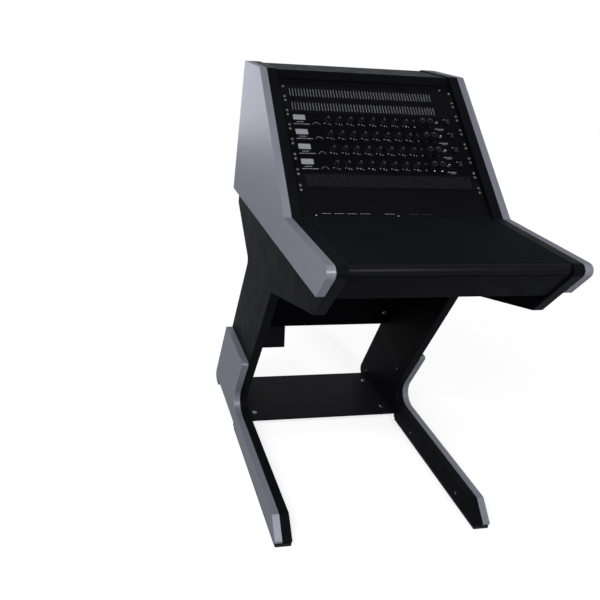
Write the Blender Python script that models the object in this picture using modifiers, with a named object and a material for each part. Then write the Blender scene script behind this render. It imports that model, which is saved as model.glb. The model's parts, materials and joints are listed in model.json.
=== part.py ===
"""Studio rack sidecar: a shaped desk-side cabinet with a worktop and a sloping 9-unit 19-inch rack bay.

Metres, +Z up. X runs across the width, +Y points to the back, and the origin is at the centre of the
footprint on the floor. The side outlines are drawn from the front of the worktop nose, at y = 0, and
moved to the origin when a piece is placed.
"""
import math

import bmesh
import bpy
from mathutils import Matrix, Vector

# Gaps between pieces that touch
GAP = 0.0003
EDGE_EASE = 0.0008

# 19-inch rack standard
RACK_UNIT = 0.04445
RACK_UNITS = 9
PANEL_WIDTH = 0.4826
PANEL_THICKNESS = 0.003
PANEL_HEIGHT_PLAY = 0.0008
HOLE_FROM_EDGE = 0.00875
HOLE_FROM_UNIT_EDGE = 0.00635
RAIL_HOLE = 0.0095
PANEL_SIDE_PLAY = 0.0022

# Boards
SIDE_THICKNESS = 0.0254
CLADDING_THICKNESS = 0.01905
BOARD = 0.019
WORKTOP_THICKNESS = 0.0254
WORKTOP_LIP = 0.036
BASE_THICKNESS = 0.008

# Heights from the floor
WORKTOP_HEIGHT = 0.762
LOWER_CLADDING_END = 0.247
MODESTY_END = 0.2556
FOOT_HEIGHT = 0.0595
ARCH_HEIGHT = 0.018
PAD_THICKNESS = 0.0075

# Drops from the top of the worktop
UPPER_CLADDING_DROP = 0.0785
APRON_DROP = 0.091
GABLE_TIP_DROP = 0.1416
GABLE_REAR_DROP = 0.242

# Lid and fascia above the rack bay
LID_DEPTH = 0.160
LID_DROP = 0.003
FASCIA_RISE = 0.01451

# Depths from the front of the nose
BEND_DEPTH = 0.285
TOE_TOP_DEPTH = 0.098
TOE_BOTTOM_DEPTH = 0.041
PAD_FRONT = 0.040

# The legs and feet stand under the back of the lid
HEEL_BEHIND_LID = 0.0186
KNEE_FROM_HEEL = 0.2408
ARCH_FROM_HEEL = 0.0556
ARCH_BEFORE_KNEE = 0.0448
PAD_FROM_ARCH = 0.005

# Slopes from the horizontal, in degrees
RACK_SLOPE = 40.7131
FRONT_SLOPE = 56.8
GABLE_UNDER_SLOPE = 16.9
LEG_FRONT_SLOPE = 67.76
LEG_REAR_SLOPE = 69.71
GABLE_REAR_SLOPE = 34.6

# Rounded corners of the side outline
NOSE_RADIUS = 0.017
BEND_RADIUS = 0.004
TOP_RADIUS = 0.003
KNEE_RADIUS = 0.045
LEG_TOP_RADIUS = 0.020
REAR_CORNER_RADIUS = 0.006
TOE_RADIUS = 0.006
HEEL_RADIUS = 0.025
ARCH_RADIUS = 0.004
CLADDING_END_RADIUS = 0.008
ARC_STEP = math.radians(12)

# Setbacks of the boards between the sides
APRON_SETBACK = 0.005
RACK_SETBACK = 0.0067
RACK_BELOW_WORKTOP = 0.00745
WORKTOP_BACK_GAP = 0.001
MODESTY_SETBACK = 0.002

# Slotted panels
SLOT_PITCH = 0.00794
SLOT_WIDTH = 0.0040
SLOT_MARGINS = (0.0243, 0.0690)
SLOT_LAND = 0.009225
FINE_PITCH = 0.00494
FINE_WIDTH = 0.0022
FINE_MARGINS = (0.0265, 0.0263)
FINE_LAND = 0.004725

# Channel units
CHANNEL_UNITS = 4
FIRST_CHANNEL_UNIT = 2
CHASSIS_SIDE_INSET = 0.0213
CHASSIS_HEIGHT_PLAY = 0.00195
CHASSIS_CLEARANCE = 0.0165
CHASSIS_WALL = 0.0015
KNOBS_PER_UNIT = 8
KNOB_FIRST = -0.131
KNOB_PITCH = 0.0303
KNOB_DROP = 0.020
KNOB_RADIUS = 0.0062
KNOB_CAP_RADIUS = 0.0047
KNOB_HEIGHT = 0.0115
KNOB_SKIRT = 0.003
KNOB_LIFT = 0.0005
SHAFT_RADIUS = 0.003
SHAFT_CLEARANCE = 0.0004
SHAFT_LENGTH = 0.0026
KNOB_SIDES = 12
SHAFT_SIDES = 8
LEVEL_KNOBS = (0.1245, 0.1455)
LEVEL_KNOB_RADIUS = 0.0075
LEVEL_KNOB_HEIGHT = 0.014
PAN_KNOB = 0.1015
PAN_KNOB_RADIUS = 0.004
PAN_KNOB_HEIGHT = 0.009
SWITCH_PLACE = 0.2015
SWITCH_SIZE = (0.009, 0.013, 0.004)
SWITCH_DROP = 0.0125
INLET_SIZE = (0.028, 0.020)
INLET_PLACE = -0.170

# Rails
RAIL_FLANGE = 0.021
RAIL_DEPTH = 0.030
RAIL_SHEET = 0.002

# Back panel notch for cables
NOTCH_WIDTH = 0.140
NOTCH_HEIGHT = 0.045
NOTCH_RADIUS = 0.012

# Levelling glides under the base plate
GLIDE_RADIUS = 0.010
GLIDE_FROM_SIDE = 0.0295
GLIDE_FROM_FRONT = 0.032
GLIDE_FROM_BACK = 0.050
GLIDE_SIDES = 16

# Cable box beside the left leg
BOX_WIDTH = 0.1436
BOX_HEIGHT = 0.068
BOX_FRONT_LEAN = 0.020
BOX_BACK_LEAN = 0.026
BOX_TOP_INSET = 0.004
BOX_TOP_DEPTH = 0.012
BOX_SHEET = 0.002
BOX_FRAME = 0.012
BOX_LIP = 0.008
BOX_RECESS = 0.0012

# Sizes that follow
INNER_HALF = PANEL_WIDTH / 2 + PANEL_SIDE_PLAY
SIDE_OUTER = INNER_HALF + SIDE_THICKNESS
CLADDING_INNER = SIDE_OUTER + GAP
OVERALL_HALF = CLADDING_INNER + CLADDING_THICKNESS
BOARD_HALF = INNER_HALF - GAP
RACK_HEIGHT = RACK_UNITS * RACK_UNIT
HOLE_OFFSETS = (HOLE_FROM_UNIT_EDGE, RACK_UNIT / 2, RACK_UNIT - HOLE_FROM_UNIT_EDGE)
SOLE = PAD_THICKNESS + GAP
UPPER_CLADDING_END = WORKTOP_HEIGHT - UPPER_CLADDING_DROP
APRON_END = WORKTOP_HEIGHT - APRON_DROP
GABLE_TIP_HEIGHT = WORKTOP_HEIGHT - GABLE_TIP_DROP
GABLE_REAR_LOW = WORKTOP_HEIGHT - GABLE_REAR_DROP
BOTTOM_PANEL_TOP = APRON_END + GAP + BOARD


class Line:
    """A straight line in the side view: a point and its slope from the horizontal, in degrees."""

    def __init__(self, point, slope):
        self.point = Vector(point)
        angle = math.radians(slope)
        self.way = Vector((math.cos(angle), math.sin(angle)))

    def shifted(self, distance):
        """The parallel line, moved to the left of its direction by distance."""
        line = Line(self.point + Vector((-self.way.y, self.way.x)) * distance, 0)
        line.way = self.way
        return line

    def at_height(self, height):
        reach = (height - self.point.y) / self.way.y
        return self.point + self.way * reach

    def at_depth(self, depth):
        reach = (depth - self.point.x) / self.way.x
        return self.point + self.way * reach

    def meet(self, other):
        across = self.way.x * other.way.y - self.way.y * other.way.x
        apart = other.point - self.point
        reach = (apart.x * other.way.y - apart.y * other.way.x) / across
        return self.point + self.way * reach


# The rack bay in the side view, and what its top edge sets
SLOPE_LINE = Line((BEND_DEPTH, WORKTOP_HEIGHT), RACK_SLOPE)
RACK_FACE = SLOPE_LINE.shifted(-RACK_SETBACK)
RAIL_FACE = RACK_FACE.shifted(-PANEL_THICKNESS)
RACK_BOTTOM = RACK_FACE.at_height(WORKTOP_HEIGHT - RACK_BELOW_WORKTOP)
RACK_TOP = RACK_BOTTOM + RACK_FACE.way * RACK_HEIGHT
TOTAL_HEIGHT = RACK_TOP.y + FASCIA_RISE + BOARD + LID_DROP
TOP_FRONT_DEPTH = SLOPE_LINE.at_height(TOTAL_HEIGHT).x
TOP_BACK_DEPTH = TOP_FRONT_DEPTH + LID_DEPTH
HEEL_DEPTH = TOP_BACK_DEPTH + HEEL_BEHIND_LID
KNEE_DEPTH = HEEL_DEPTH - KNEE_FROM_HEEL
ARCH_BACK = HEEL_DEPTH - ARCH_FROM_HEEL
ARCH_FRONT = KNEE_DEPTH - ARCH_BEFORE_KNEE
PAD_BACK = ARCH_FRONT - PAD_FROM_ARCH

# A chassis reaches back from the lowest channel unit until it is near the bottom panel
UNITS_BELOW_CHANNELS = RACK_UNITS - FIRST_CHANNEL_UNIT - CHANNEL_UNITS
LOWEST_CHANNEL = RACK_BOTTOM + RACK_FACE.way * UNITS_BELOW_CHANNELS * RACK_UNIT
BAY_DEPTH = (LOWEST_CHANNEL.y - BOTTOM_PANEL_TOP) / RACK_FACE.way.x
CHASSIS_DEPTH = BAY_DEPTH - PANEL_THICKNESS - CHASSIS_CLEARANCE

# The other lines of the side view
NOSE_CORNER = (NOSE_RADIUS - NOSE_RADIUS / math.tan(math.radians(FRONT_SLOPE / 2)), WORKTOP_HEIGHT)
FRONT_LINE = Line(NOSE_CORNER, -FRONT_SLOPE)
GABLE_TIP = FRONT_LINE.at_height(GABLE_TIP_HEIGHT)
GABLE_UNDER = Line(GABLE_TIP, -GABLE_UNDER_SLOPE)
LEG_FRONT = Line((KNEE_DEPTH, FOOT_HEIGHT), -LEG_FRONT_SLOPE)
LEG_REAR = Line((HEEL_DEPTH, 0), -LEG_REAR_SLOPE)
TOE_LINE = Line(
    (TOE_BOTTOM_DEPTH, SOLE),
    math.degrees(math.atan2(FOOT_HEIGHT - SOLE, TOE_TOP_DEPTH - TOE_BOTTOM_DEPTH)),
)
GABLE_REAR_UNDER = Line(LEG_REAR.at_height(GABLE_REAR_LOW), GABLE_REAR_SLOPE)


def rounded(corners):
    """Outline points for (depth, height, radius) corners, with each round corner as a short arc."""
    points = []
    for index, (depth, height, radius) in enumerate(corners):
        here = Vector((depth, height))
        if radius == 0:
            points.append(here)
            continue
        before = (Vector(corners[index - 1][:2]) - here).normalized()
        after = (Vector(corners[(index + 1) % len(corners)][:2]) - here).normalized()
        half = before.angle(after) / 2
        centre = here + (before + after).normalized() * radius / math.sin(half)
        first = here + before * radius / math.tan(half) - centre
        last = here + after * radius / math.tan(half) - centre
        turn = math.atan2(first.x * last.y - first.y * last.x, first.dot(last))
        steps = max(1, math.ceil(abs(turn) / ARC_STEP))
        for step in range(steps + 1):
            points.append(centre + Matrix.Rotation(turn * step / steps, 2) @ first)
    return points


def foot_corners():
    """Corners shared by the side panel and the lower cladding, from the leg's rear down to its front."""
    knee = LEG_FRONT.at_height(FOOT_HEIGHT)
    return [
        (HEEL_DEPTH, 0, HEEL_RADIUS),
        (ARCH_BACK, 0, 0),
        (ARCH_BACK, ARCH_HEIGHT, ARCH_RADIUS),
        (ARCH_FRONT, ARCH_HEIGHT, ARCH_RADIUS),
        (ARCH_FRONT, SOLE, 0),
        (TOE_BOTTOM_DEPTH, SOLE, TOE_RADIUS),
        (*TOE_LINE.at_height(FOOT_HEIGHT), TOE_RADIUS),
        (*knee, KNEE_RADIUS),
    ]


def top_corners():
    """Corners shared by the side panel and the upper cladding, from the nose to the top of the back."""
    return [
        (*NOSE_CORNER, NOSE_RADIUS),
        (BEND_DEPTH, WORKTOP_HEIGHT, BEND_RADIUS),
        (TOP_FRONT_DEPTH, TOTAL_HEIGHT, TOP_RADIUS),
        (TOP_BACK_DEPTH, TOTAL_HEIGHT, TOP_RADIUS),
    ]


def side_outline():
    leg_top = GABLE_UNDER.meet(LEG_FRONT)
    rear_low = GABLE_REAR_UNDER.at_depth(TOP_BACK_DEPTH)
    corners = top_corners()
    corners += [(*rear_low, REAR_CORNER_RADIUS), (*GABLE_REAR_UNDER.point, LEG_TOP_RADIUS)]
    corners += foot_corners()
    corners += [(*leg_top, LEG_TOP_RADIUS), (*GABLE_TIP, 0)]
    return rounded(corners)


def upper_cladding_outline():
    corners = top_corners()
    corners += [(TOP_BACK_DEPTH, UPPER_CLADDING_END, TOP_RADIUS)]
    corners += [(*FRONT_LINE.at_height(UPPER_CLADDING_END), 0)]
    return rounded(corners)


def lower_cladding_outline():
    corners = [(*LEG_REAR.at_height(LOWER_CLADDING_END), CLADDING_END_RADIUS)]
    corners += foot_corners()
    corners += [(*LEG_FRONT.at_height(LOWER_CLADDING_END), CLADDING_END_RADIUS)]
    return rounded(corners)


SIDE_OUTLINE = side_outline()
MIDDLE_DEPTH = (min(point.x for point in SIDE_OUTLINE) + max(point.x for point in SIDE_OUTLINE)) / 2


def finish(name, colour, roughness, metallic):
    material = bpy.data.materials.new(name)
    material.use_nodes = True
    shader = material.node_tree.nodes["Principled BSDF"]
    shader.inputs["Base Color"].default_value = (*colour, 1)
    shader.inputs["Roughness"].default_value = roughness
    shader.inputs["Metallic"].default_value = metallic
    return material


def new_object(name, data, material, collection):
    piece = bpy.data.objects.new(name, data)
    collection.objects.link(piece)
    if material:
        data.materials.append(material)
    return piece


def curve_to_mesh(piece, collection):
    """The same piece as a welded mesh, which Bevel and Boolean can work on."""
    bpy.context.view_layer.update()
    shape = piece.evaluated_get(bpy.context.evaluated_depsgraph_get())
    mesh = bpy.data.meshes.new_from_object(shape)
    welded = bmesh.new()
    welded.from_mesh(mesh)
    bmesh.ops.remove_doubles(welded, verts=welded.verts, dist=1e-6)
    welded.to_mesh(mesh)
    welded.free()
    name = piece.name
    matrix = piece.matrix_world.copy()
    bpy.data.objects.remove(piece)
    solid = bpy.data.objects.new(name, mesh)
    solid.matrix_world = matrix
    collection.objects.link(solid)
    return solid


def slab(name, outline, x_low, x_high, material, collection):
    """A board: a side-view outline as a flat filled curve, as thick as the distance across X."""
    curve = bpy.data.curves.new(name, "CURVE")
    curve.dimensions = "2D"
    curve.fill_mode = "BOTH"
    curve.extrude = (x_high - x_low) / 2
    spline = curve.splines.new("POLY")
    spline.points.add(len(outline) - 1)
    for point, (depth, height) in zip(spline.points, outline):
        point.co = (depth - MIDDLE_DEPTH, height, 0, 1)
    spline.use_cyclic_u = True
    piece = new_object(name, curve, material, collection)
    piece.rotation_euler = (math.pi / 2, 0, math.pi / 2)
    piece.location.x = (x_low + x_high) / 2
    return curve_to_mesh(piece, collection)


def ease_edges(piece, width=EDGE_EASE):
    bevel = piece.modifiers.new("eased_edges", "BEVEL")
    bevel.width = width
    bevel.segments = 1
    bevel.limit_method = "ANGLE"
    bevel.angle_limit = math.radians(40)


def block(name, low, high, material, collection):
    """A box between two corners, with its place in its mesh."""
    mesh = bpy.data.meshes.new(name)
    shape = bmesh.new()
    bmesh.ops.create_cube(shape, size=1)
    size = Vector(high) - Vector(low)
    middle = (Vector(high) + Vector(low)) / 2
    bmesh.ops.scale(shape, vec=size, verts=shape.verts)
    bmesh.ops.translate(shape, vec=middle, verts=shape.verts)
    shape.to_mesh(mesh)
    shape.free()
    return new_object(name, mesh, material, collection)


def add_box(shape, low, high):
    """Adds a box between two corners to a bmesh."""
    size = Vector(high) - Vector(low)
    middle = (Vector(high) + Vector(low)) / 2
    place = Matrix.Translation(middle) @ Matrix.Diagonal((*size, 1))
    bmesh.ops.create_cube(shape, size=1, matrix=place)


def add_post(shape, centre, radius, low, high, sides):
    """Adds an upright round post to a bmesh, from height low to height high."""
    place = Matrix.Translation((centre[0], centre[1], (low + high) / 2))
    bmesh.ops.create_cone(
        shape, cap_ends=True, segments=sides, radius1=radius, radius2=radius, depth=high - low, matrix=place
    )


def mesh_object(name, shape, material, collection):
    mesh = bpy.data.meshes.new(name)
    shape.to_mesh(mesh)
    shape.free()
    return new_object(name, mesh, material, collection)


def boolean(piece, tool, operation):
    modifier = piece.modifiers.new(operation.lower(), "BOOLEAN")
    modifier.operation = operation
    modifier.solver = "EXACT"
    modifier.object = tool
    tool.hide_render = True
    tool.display_type = "WIRE"


def side_boards(parts, finishes):
    """Both side panels with their upper and lower cladding and the pads under the front feet."""
    upper = upper_cladding_outline()
    lower = lower_cladding_outline()
    pad = rounded([
        (PAD_FRONT, 0, PAD_THICKNESS / 3),
        (PAD_BACK, 0, PAD_THICKNESS / 3),
        (PAD_BACK, PAD_THICKNESS, 0),
        (PAD_FRONT, PAD_THICKNESS, 0),
    ])
    for side, sign in (("left", -1), ("right", 1)):
        spans = {
            "side": sorted((sign * INNER_HALF, sign * SIDE_OUTER)),
            "cladding": sorted((sign * CLADDING_INNER, sign * OVERALL_HALF)),
            "pad": sorted((sign * (INNER_HALF + GAP), sign * (OVERALL_HALF - GAP))),
        }
        slab(f"side_panel_{side}", SIDE_OUTLINE, *spans["side"], finishes["laminate"], parts)
        for name, outline in (("upper", upper), ("lower", lower)):
            board = slab(f"{name}_cladding_{side}", outline, *spans["cladding"], finishes["silver"], parts)
            ease_edges(board)
        slab(f"foot_pad_{side}", pad, *spans["pad"], finishes["rubber"], parts)


def worktop(parts, finishes, front, inner):
    """The worktop: flat top, round nose with a lip on the apron's slope, back cut along the rack bay."""
    under = WORKTOP_HEIGHT - WORKTOP_THICKNESS
    lip = WORKTOP_HEIGHT - WORKTOP_LIP
    back = RACK_FACE.shifted(WORKTOP_BACK_GAP)
    outline = rounded([
        (*front.at_height(WORKTOP_HEIGHT), NOSE_RADIUS),
        (*back.at_height(WORKTOP_HEIGHT), 0),
        (*back.at_height(under), 0),
        (*inner.at_height(under), 0),
        (*inner.at_height(lip), 0),
        (*front.at_height(lip), 0),
    ])
    slab("worktop", outline, -BOARD_HALF, BOARD_HALF, finishes["laminate"], parts)


def cabinet_boards(parts, finishes):
    """Apron, bottom panel, lid and fascia, each cut to meet its neighbour."""
    front = FRONT_LINE.shifted(APRON_SETBACK)
    inner = front.shifted(BOARD)
    worktop(parts, finishes, front, inner)
    apron_top = WORKTOP_HEIGHT - WORKTOP_LIP - GAP
    apron = [
        front.at_height(apron_top),
        inner.at_height(apron_top),
        inner.at_height(APRON_END),
        front.at_height(APRON_END),
    ]
    slab("front_apron", apron, -BOARD_HALF, BOARD_HALF, finishes["laminate"], parts)

    floor_low = APRON_END + GAP
    floor_high = BOTTOM_PANEL_TOP
    back_face = TOP_BACK_DEPTH - BOARD
    bottom = [
        inner.at_height(floor_high) + Vector((GAP, 0)),
        Vector((back_face - GAP, floor_high)),
        Vector((back_face - GAP, floor_low)),
        inner.at_height(floor_low) + Vector((GAP, 0)),
    ]
    slab("bottom_panel", bottom, -BOARD_HALF, BOARD_HALF, finishes["laminate"], parts)

    lid_top = TOTAL_HEIGHT - LID_DROP
    lid_low = lid_top - BOARD
    lid = [
        RACK_FACE.at_height(lid_top),
        Vector((TOP_BACK_DEPTH, lid_top)),
        Vector((TOP_BACK_DEPTH, lid_low)),
        RACK_FACE.at_height(lid_low),
    ]
    slab("top_lid", lid, -BOARD_HALF, BOARD_HALF, finishes["laminate"], parts)

    fascia_back = RAIL_FACE.shifted(-BOARD)
    square = Line(RACK_TOP + RACK_FACE.way * GAP, RACK_SLOPE + 90)
    fascia = [
        RAIL_FACE.at_height(lid_low - GAP),
        fascia_back.at_height(lid_low - GAP),
        square.meet(fascia_back),
        square.meet(RAIL_FACE),
    ]
    slab("top_fascia", fascia, -BOARD_HALF, BOARD_HALF, finishes["laminate"], parts)
    return floor_low, back_face, lid_low


def back_panel(parts, cutters, finishes, floor_low, back_face, lid_low):
    """The back panel, with a round-cornered notch at its lower edge for the cables."""
    low = (-BOARD_HALF, back_face - MIDDLE_DEPTH, floor_low)
    high = (BOARD_HALF, TOP_BACK_DEPTH - MIDDLE_DEPTH, lid_low - GAP)
    panel = block("back_panel", low, high, finishes["laminate"], parts)
    notch_low = floor_low + BOARD + GAP
    notch = rounded([
        (-NOTCH_WIDTH / 2, notch_low, NOTCH_RADIUS),
        (NOTCH_WIDTH / 2, notch_low, NOTCH_RADIUS),
        (NOTCH_WIDTH / 2, notch_low + NOTCH_HEIGHT, NOTCH_RADIUS),
        (-NOTCH_WIDTH / 2, notch_low + NOTCH_HEIGHT, NOTCH_RADIUS),
    ])
    curve = bpy.data.curves.new("cable_notch", "CURVE")
    curve.dimensions = "2D"
    curve.fill_mode = "BOTH"
    curve.extrude = BOARD
    spline = curve.splines.new("POLY")
    spline.points.add(len(notch) - 1)
    for point, (across, height) in zip(spline.points, notch):
        point.co = (across, height, 0, 1)
    spline.use_cyclic_u = True
    tool = new_object("cable_notch", curve, None, cutters)
    tool.rotation_euler = (math.pi / 2, 0, 0)
    tool.location.y = (back_face + TOP_BACK_DEPTH) / 2 - MIDDLE_DEPTH
    boolean(panel, curve_to_mesh(tool, cutters), "DIFFERENCE")


def modesty_panel(parts, finishes, ceiling):
    """The slanted panel between the legs, set just inside their rear edges."""
    rear = LEG_REAR.shifted(-MODESTY_SETBACK)
    front = rear.shifted(-BOARD)
    outline = [
        front.at_height(ceiling - GAP),
        rear.at_height(ceiling - GAP),
        rear.at_height(MODESTY_END),
        front.at_height(MODESTY_END),
    ]
    slab("modesty_panel", outline, -BOARD_HALF, BOARD_HALF, finishes["laminate"], parts)
    return front, rear


def base_plate(parts, finishes):
    """The low plate between the legs, standing on four levelling glides that are fixed to it."""
    shape = bmesh.new()
    low = (-BOARD_HALF, ARCH_FRONT - MIDDLE_DEPTH, ARCH_HEIGHT)
    high = (BOARD_HALF, ARCH_BACK - MIDDLE_DEPTH, ARCH_HEIGHT + BASE_THICKNESS)
    add_box(shape, low, high)
    plate = mesh_object("base_plate", shape, finishes["steel"], parts)
    return plate


def glides(plate, cutters):
    """The four glides, joined to the base plate."""
    shape = bmesh.new()
    for sign in (-1, 1):
        for depth in (ARCH_FRONT + GLIDE_FROM_FRONT, ARCH_BACK - GLIDE_FROM_BACK):
            centre = (sign * (INNER_HALF - GLIDE_FROM_SIDE), depth - MIDDLE_DEPTH)
            add_post(shape, centre, GLIDE_RADIUS, 0, ARCH_HEIGHT + BASE_THICKNESS / 2, GLIDE_SIDES)
    boolean(plate, mesh_object("glide_posts", shape, None, cutters), "UNION")


def cable_box(parts, cutters, finishes, front, rear):
    """A sheet-metal box under the modesty panel, open at the back, with a framed sloping face."""
    top = MODESTY_END - GAP
    bottom = top - BOX_HEIGHT
    top_front = front.at_height(MODESTY_END).x + BOX_TOP_INSET
    top_back = top_front + BOX_TOP_DEPTH
    outline = [
        Vector((top_front, top)),
        Vector((top_back, top)),
        Vector((top_back + BOX_BACK_LEAN, bottom)),
        Vector((top_front - BOX_FRONT_LEAN, bottom)),
    ]
    x_low = -BOARD_HALF
    x_high = x_low + BOX_WIDTH
    box = slab("cable_box", outline, x_low, x_high, finishes["steel"], parts)
    inner = [
        Vector((top_front + BOX_SHEET, top - BOX_SHEET)),
        Vector((top_back + 2 * BOX_BACK_LEAN, top - BOX_SHEET)),
        Vector((top_back + 2 * BOX_BACK_LEAN, bottom + BOX_SHEET)),
        Vector((top_front - BOX_FRONT_LEAN + 2 * BOX_SHEET, bottom + BOX_SHEET)),
    ]
    hollow = slab("box_hollow", inner, x_low + BOX_SHEET, x_high - BOX_SHEET, None, cutters)
    boolean(box, hollow, "DIFFERENCE")
    face = Line((top_front - BOX_FRONT_LEAN, bottom), math.degrees(math.atan2(BOX_HEIGHT, BOX_FRONT_LEAN)))
    sunk = face.shifted(-BOX_RECESS)
    proud = face.shifted(BOX_SHEET)
    recess = [
        proud.at_height(top + BOX_SHEET),
        sunk.at_height(top + BOX_SHEET),
        sunk.at_height(bottom + BOX_LIP),
        proud.at_height(bottom + BOX_LIP),
    ]
    window = slab("box_recess", recess, x_low - BOX_SHEET, x_high - BOX_FRAME, None, cutters)
    boolean(box, window, "DIFFERENCE")


def rack_frame(parts):
    """An empty at the middle of the rack bay's top edge: x across, y up the slope, z out of the bay."""
    frame = bpy.data.objects.new("rack_frame", None)
    parts.objects.link(frame)
    frame.location = (0, RACK_TOP.x - MIDDLE_DEPTH, RACK_TOP.y)
    frame.rotation_euler = (math.radians(RACK_SLOPE), 0, 0)
    return frame


def rails(parts, cutters, finishes, frame):
    """Two angle-section rails with square holes at the standard offsets in each unit."""
    behind = -PANEL_THICKNESS - GAP
    for side, sign in (("left", -1), ("right", 1)):
        outer = sign * BOARD_HALF
        shape = bmesh.new()
        edges = sorted((outer, sign * (BOARD_HALF - RAIL_FLANGE)))
        add_box(shape, (edges[0], -RACK_HEIGHT, behind - RAIL_SHEET), (edges[1], 0, behind))
        rail = mesh_object(f"rack_rail_{side}", shape, finishes["rail"], parts)
        rail.parent = frame
        shape = bmesh.new()
        edges = sorted((outer, sign * (BOARD_HALF - RAIL_SHEET)))
        add_box(shape, (edges[0], -RACK_HEIGHT, behind - RAIL_DEPTH), (edges[1], 0, behind - RAIL_SHEET / 2))
        flange = mesh_object(f"rail_flange_{side}", shape, None, cutters)
        flange.parent = frame
        boolean(rail, flange, "UNION")
        shape = bmesh.new()
        centre = sign * (PANEL_WIDTH / 2 - HOLE_FROM_EDGE)
        half = RAIL_HOLE / 2
        for unit in range(RACK_UNITS):
            for offset in HOLE_OFFSETS:
                height = -unit * RACK_UNIT - offset
                low = (centre - half, height - half, behind - 2 * RAIL_SHEET)
                high = (centre + half, height + half, behind + RAIL_SHEET)
                add_box(shape, low, high)
        holes = mesh_object(f"rail_holes_{side}", shape, None, cutters)
        holes.parent = frame
        boolean(rail, holes, "DIFFERENCE")


def unit_span(first, units):
    """Lowest and highest place of a panel down the slope, in the rack frame."""
    high = -first * RACK_UNIT - PANEL_HEIGHT_PLAY / 2
    low = -(first + units) * RACK_UNIT + PANEL_HEIGHT_PLAY / 2
    return low, high


def rack_panel(name, first, units, material, parts, frame):
    low, high = unit_span(first, units)
    half = PANEL_WIDTH / 2
    panel = block(name, (-half, low, -PANEL_THICKNESS), (half, high, 0), material, parts)
    panel.parent = frame
    return panel


def slotted_panel(name, first, layout, material, parts, cutters, frame):
    """A one-unit panel with a row of upright slots; layout is pitch, width, side margins, and the land left
    above and below the slots."""
    panel = rack_panel(name, first, 1, material, parts, frame)
    pitch, width, margins, land = layout
    count = 1 + math.floor((PANEL_WIDTH - sum(margins)) / pitch)
    start = margins[0] - PANEL_WIDTH / 2
    height = RACK_UNIT - 2 * land
    middle = -(first + 0.5) * RACK_UNIT
    shape = bmesh.new()
    for index in range(count):
        place = start + index * pitch
        low = (place - width / 2, middle - height / 2, -2 * PANEL_THICKNESS)
        high = (place + width / 2, middle + height / 2, PANEL_THICKNESS)
        add_box(shape, low, high)
    slots = mesh_object(f"{name}_slots", shape, None, cutters)
    slots.parent = frame
    boolean(panel, slots, "DIFFERENCE")


def knob_places():
    return [KNOB_FIRST + index * KNOB_PITCH for index in range(KNOBS_PER_UNIT)]


def channel_unit(number, parts, cutters, finishes, frame):
    """A faceplate with shaft holes, its hollow chassis behind, and its small fixed controls."""
    first = FIRST_CHANNEL_UNIT + number - 1
    panel = rack_panel(f"channel_unit_{number}", first, 1, finishes["faceplate"], parts, frame)
    top = -first * RACK_UNIT
    middle = top - RACK_UNIT / 2
    half = PANEL_WIDTH / 2 - CHASSIS_SIDE_INSET
    tall = (RACK_UNIT - CHASSIS_HEIGHT_PLAY) / 2
    back = -PANEL_THICKNESS - CHASSIS_DEPTH

    shape = bmesh.new()
    add_box(shape, (-half, middle - tall, back), (half, middle + tall, -PANEL_THICKNESS / 2))
    chassis = mesh_object(f"chassis_{number}", shape, None, cutters)

    shape = bmesh.new()
    inner = half - CHASSIS_WALL
    inner_tall = tall - CHASSIS_WALL
    low = (-inner, middle - inner_tall, back + CHASSIS_WALL)
    add_box(shape, low, (inner, middle + inner_tall, -PANEL_THICKNESS))
    hollow = mesh_object(f"chassis_hollow_{number}", shape, None, cutters)

    shape = bmesh.new()
    low = (INLET_PLACE - INLET_SIZE[0] / 2, middle - INLET_SIZE[1] / 2, back - CHASSIS_WALL)
    high = (INLET_PLACE + INLET_SIZE[0] / 2, middle + INLET_SIZE[1] / 2, back + 2 * CHASSIS_WALL)
    add_box(shape, low, high)
    for place in knob_places():
        centre = (place, top - KNOB_DROP)
        reach = 2 * PANEL_THICKNESS
        add_post(shape, centre, SHAFT_RADIUS + SHAFT_CLEARANCE, -reach, reach, SHAFT_SIDES)
    holes = mesh_object(f"unit_holes_{number}", shape, None, cutters)

    shape = bmesh.new()
    sunk = -PANEL_THICKNESS / 2
    for place in LEVEL_KNOBS:
        add_post(shape, (place, top - KNOB_DROP), LEVEL_KNOB_RADIUS, sunk, LEVEL_KNOB_HEIGHT, KNOB_SIDES)
    add_post(shape, (PAN_KNOB, top - KNOB_DROP), PAN_KNOB_RADIUS, sunk, PAN_KNOB_HEIGHT, KNOB_SIDES)
    width, height, stand = SWITCH_SIZE
    low = (SWITCH_PLACE - width / 2, top - SWITCH_DROP - height / 2, sunk)
    high = (SWITCH_PLACE + width / 2, top - SWITCH_DROP + height / 2, stand)
    add_box(shape, low, high)
    controls = mesh_object(f"fixed_controls_{number}", shape, None, cutters)

    for tool, operation in (
        (chassis, "UNION"), (hollow, "DIFFERENCE"), (holes, "DIFFERENCE"), (controls, "UNION")
    ):
        tool.parent = frame
        boolean(panel, tool, operation)


def knob_mesh(material):
    """A skirted knob on its shaft, turned round its axis from a profile that runs down its outside."""
    profile = [
        (0, KNOB_HEIGHT),
        (KNOB_CAP_RADIUS, KNOB_HEIGHT),
        (KNOB_CAP_RADIUS, KNOB_SKIRT),
        (KNOB_RADIUS, KNOB_LIFT),
        (SHAFT_RADIUS, KNOB_LIFT),
        (SHAFT_RADIUS, -SHAFT_LENGTH),
        (0, -SHAFT_LENGTH),
    ]
    mesh = bpy.data.meshes.new("knob")
    points = [(radius, 0, height) for radius, height in profile]
    edges = [(index, index + 1) for index in range(len(profile) - 1)]
    mesh.from_pydata(points, edges, [])
    mesh.materials.append(material)
    return mesh


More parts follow.
